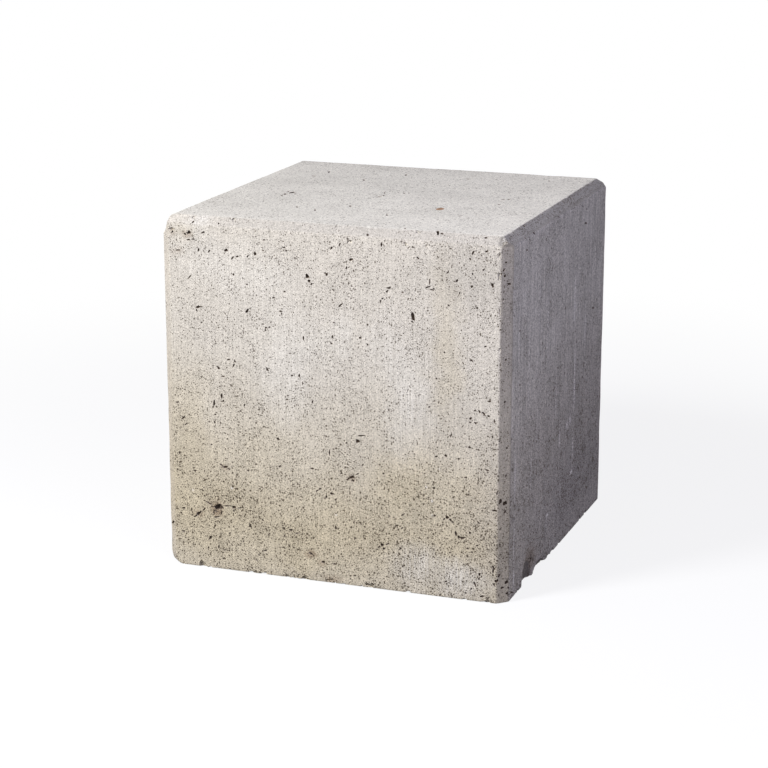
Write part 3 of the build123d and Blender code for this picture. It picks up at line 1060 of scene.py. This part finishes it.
def chamfers_with_painted_shade(tree, colour, masks):
    """The walls' colour with painted shade on the rim, its crease and the sliced corners, and the corners'
    brown.
    """
    across = masks["across"]
    # Painted shade on the rim
    shares = product(tree, ease(tree, across, *RIM_LEFT_SHARE), ease(tree, across, *RIM_RIGHT_SHARE))
    colour = blend(tree, product(tree, masks["rim"], shares), colour, RIM_PAINTED_SHADE, "MULTIPLY")
    # Painted shade along the crease under the rim, against the lamp's bright line there
    crease = ease(tree, masks["up"], RIM_FOOT - CREASE_START, RIM_FOOT + BAND_LAP)
    crease = product(tree, crease, calc(tree, "SUBTRACT", 1.0, masks["rim"]))
    crease = product(tree, crease, ease(tree, across, *FRONT_CREASE_END))
    colour = times(tree, colour, between(tree, crease, 1.0, CREASE_PAINTED_SHADE))
    # Painted shade on the right rim
    colour = blend(tree, masks["shaded"], colour, RIGHT_RIM_PAINTED_SHADE, "MULTIPLY")
    # Painted shade on the sliced corners, browner on the right
    tone = blend(tree, ease(tree, across, *LEFT_HALF), CORNER_PAINTED_SHADE, LEFT_CORNER_PAINTED_SHADE)
    colour = blend(tree, masks["corner"], colour, tone, "MULTIPLY")
    return blend(tree, product(tree, masks["brown"], BROWN_STRENGTH), colour, CORNER_BROWN)


def wall_cover(tree, place, masks):
    """How much of the walls' sand is dark gaps: uneven, and more or less of it by place."""
    clump = mottle(tree, place, CLUMP_CLOUDS, -CLUMP_SHIFT, CLUMP_SHIFT, detail=2.0)
    right = product(tree, masks["right"], ease(tree, masks["up"], *RIGHT_COVER))
    cover = total(tree, mottle(tree, place, COVER_CLOUDS, *COVER_RANGE), clump, right)
    for name, shift in COVER_SHIFTS.items():
        cover = total(tree, cover, product(tree, masks[name], shift))
    return cover


def wall_concrete(shared, surface):
    """The walls, rim and corners: weathered skin with painted shade, and coarser sand on the right wall."""
    made, tree, shader, place = new_material("wall_concrete")
    roaming = wandering(tree, place, *PATCH_DRIFT)
    masks = wall_masks(tree, shared, surface, place, roaming)
    colour = walls_with_wear_and_painted_shade(tree, shared, surface, place, roaming, masks)
    colour = chamfers_with_painted_shade(tree, colour, masks)
    # Brown round some pits, and painted shade in the spalled hollow at the right foot
    pit_brown_and_shade = patches(tree, shared, surface, PIT_BROWN_AND_SHADE_PX, wandering(tree, place, *PIT_DRIFT))
    colour = blend(tree, product(tree, pit_brown_and_shade, PIT_STRENGTH), colour, PIT_BROWN_AND_SHADE)
    dim = calc(tree, "MAXIMUM", masks["right"], masks["shaded"])
    sand = {
        "grain": total(tree, product(tree, dim, DIM_GRAIN), WALL_GRAIN),
        "cover": wall_cover(tree, place, masks),
        "specks": total(tree, between(tree, dim, *WALL_SPECKS), product(tree, masks["warm"], FOOT_SPECKS)),
        "shades": total(tree, between(tree, dim, *WALL_SHADES), product(tree, masks["warm"], FOOT_SHADES)),
        "bump": WALL_BUMP,
    }
    dress(tree, shader, shared, place, colour, **sand)
    return made


def seat_concrete(shared, surface):
    """The top: smoother and cooler, with soft clouds, faint trowel lines and few specks."""
    made, tree, shader, place = new_material("seat_concrete")
    lines = cloud(tree, vector_calc(tree, "MULTIPLY", place, TROWEL_STRETCH), 1.0, 2.0)["Fac"]
    lines = product(tree, calc(tree, "SUBTRACT", lines, NOISE_MIDDLE), TROWEL_STRENGTH)
    clouds = total(tree, mottle(tree, place, SEAT_CLOUDS, *SEAT_CLOUD_TONES), lines)
    across = put(tree, "ShaderNodeSeparateXYZ", {0: place}).outputs["X"]
    clouds = product(tree, clouds, ease(tree, across, *SEAT_RIGHT_LIFT))
    colour = times(tree, SEAT_SKIN, clouds)
    feeds = {"Vector": place, "Centre": photo_place(surface, *FLECK_PX)[0], "Reach": FLECK_REACH}
    fleck = ease(tree, use(tree, shared["patch"], feeds)["Mask"], *FLECK_EDGE)
    colour = blend(tree, fleck, colour, FLECK)
    cover = mottle(tree, place, SEAT_COVER_CLOUDS, *SEAT_COVER)
    dress(tree, shader, shared, place, colour, cover=cover, **SEAT_SAND)
    return made


def rough_concrete(name, shared, skin):
    """Rough concrete under the skin: knocked edges and the bed."""
    made, tree, shader, place = new_material(name)
    clouds = mottle(tree, place, ROUGH_CLOUDS, *ROUGH_CLOUD_TONES)
    dress(tree, shader, shared, place, times(tree, skin, clouds), **ROUGH_SAND)
    return made


def pore_concrete(shared):
    """The inside of a pore, darkened as painted shade: a darkened wall tone at its lip, dark brown at its
    bottom.
    """
    made, tree, shader, place = new_material("pore_concrete")
    hollow = put(tree, "ShaderNodeAttribute", attribute_name="hollow").outputs["Fac"]
    # Painted shade deepening with the hollow
    colour = blend(tree, ease(tree, hollow, *PORE_LIP_END), PORE_LIP_SHADE, PORE_BOTTOM_SHADE)
    dress(tree, shader, shared, place, colour, **PORE_SAND)
    return made


def finishes(surface):
    """Every finish of the block, by name."""
    shared = {"sand": sand_grain(), "drag": drag_marks(), "patch": soft_patch(), "bands": chamfer_bands()}
    return {
        "wall": wall_concrete(shared, surface),
        "seat": seat_concrete(shared, surface),
        "bed": rough_concrete("bed_concrete", shared, BED_SKIN),
        # Knocked faces darkened with painted shade
        "broken": rough_concrete("broken_concrete", shared, KNOCKED_TONE_AND_SHADE),
        "pore": pore_concrete(shared),
    }


def seating_block():
    """The whole block, riding on its body in place of the plain solid."""
    surface = cad_surface()
    materials = finishes(surface)
    pore = materials.pop("pore")
    skin = skin_block(surface, materials)
    small = lumps("small_lump", 1, SMALL_LUMPS, pore)
    fine = lumps("fine_lump", 2, FINE_LUMPS, pore)
    crumb = lumps("crumb_lump", 2, CRUMB_LUMPS, materials["wall"])
    pits = placed_lumps("placed_pores", surface, PLACED_PORES_PX)
    chips = placed_lumps("placed_chips", surface, CHIPS_PX)
    mesh = open_pores(skin, pore_tree(small, fine, crumb, pits, chips, pore))
    mark_hollows(mesh)
    for helper in [*small.objects, *fine.objects, *crumb.objects, pits, chips]:
        bpy.data.objects.remove(helper)
    for shelf in (small, fine, crumb):
        bpy.data.collections.remove(shelf)
    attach(skin, "root")
    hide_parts(BLOCK_NODE)


def seen_rays(tree):
    """1 for a ray that shows the background: from the camera, a reflection or a clear thing."""
    path = put(tree, "ShaderNodeLightPath").outputs
    seen = calc(tree, "MAXIMUM", path["Is Camera Ray"], path["Is Glossy Ray"])
    return calc(tree, "MAXIMUM", seen, path["Is Transmission Ray"])


def floor():
    """A plain floor: white to the camera, with a soft shadow near the block, and grey in its bounce."""
    bpy.ops.mesh.primitive_circle_add(vertices=FLOOR_SIDES, radius=FLOOR_REACH, fill_type="NGON")
    ground = bpy.context.object
    ground.name = "studio_floor"
    made = bpy.data.materials.new("floor_white")
    made.use_nodes = True
    tree = made.node_tree
    tree.nodes.remove(tree.nodes["Principled BSDF"])
    white = put(tree, "ShaderNodeEmission", {"Strength": 1.0}).outputs[0]
    lit = put(tree, "ShaderNodeBsdfDiffuse", {"Color": FLOOR_PALE}).outputs[0]
    away = vector_calc(tree, "LENGTH", put(tree, "ShaderNodeTexCoord").outputs["Object"])
    shadow = ease(tree, away, SHADOW_NEAR, SHADOW_FAR, SHADOW_SHARE, 0.0)
    shown = put(tree, "ShaderNodeMixShader", {0: shadow, 1: white, 2: lit}).outputs[0]
    bounce = (FLOOR_BOUNCE, FLOOR_BOUNCE, FLOOR_BOUNCE, 1)
    grey = put(tree, "ShaderNodeBsdfDiffuse", {"Color": bounce}).outputs[0]
    both = put(tree, "ShaderNodeMixShader", {0: seen_rays(tree), 1: grey, 2: shown}).outputs[0]
    tree.links.new(both, tree.nodes["Material Output"].inputs["Surface"])
    ground.data.materials.append(made)


def lamp(name, towards, distance, size, power, colour):
    """A soft round lamp that points at the block's middle."""
    made = bpy.data.lights.new(name, "AREA")
    made.shape = "DISK"
    made.size = size
    made.energy = power
    made.color = colour
    hung = bpy.data.objects.new(name, made)
    way = towards.normalized()
    hung.location = Vector((0, 0, HEIGHT / 2)) + way * distance
    hung.rotation_euler = way.to_track_quat("Z", "Y").to_euler()
    hung.visible_camera = False
    bpy.context.scene.collection.objects.link(hung)


def lights():
    """A soft lamp at the front left, a dim one at the front right, and a dim cool fill from all round."""
    lamp("key", KEY_TOWARDS, KEY_DISTANCE, KEY_SIZE, KEY_POWER, KEY_COLOUR)
    lamp("side", SIDE_TOWARDS, SIDE_DISTANCE, SIDE_SIZE, SIDE_POWER, SIDE_COLOUR)
    world = bpy.data.worlds.new("studio")
    world.use_nodes = True
    bpy.context.scene.world = world
    tree = world.node_tree
    colour = blend(tree, seen_rays(tree), FILL, BACKDROP)
    tree.links.new(colour, tree.nodes["Background"].inputs["Color"])


def camera():
    """The camera at the photo's viewing angle."""
    eye = bpy.data.cameras.new("camera")
    eye.sensor_width = SENSOR
    eye.lens = LENS
    made = bpy.data.objects.new("camera", eye)
    made.location = CAMERA_PLACE
    made.rotation_euler = CAMERA_TURN.to_euler()
    bpy.context.scene.collection.objects.link(made)
    bpy.context.scene.camera = made


seating_block()
floor()
lights()
camera()
bpy.context.scene.view_settings.view_transform = "Standard"
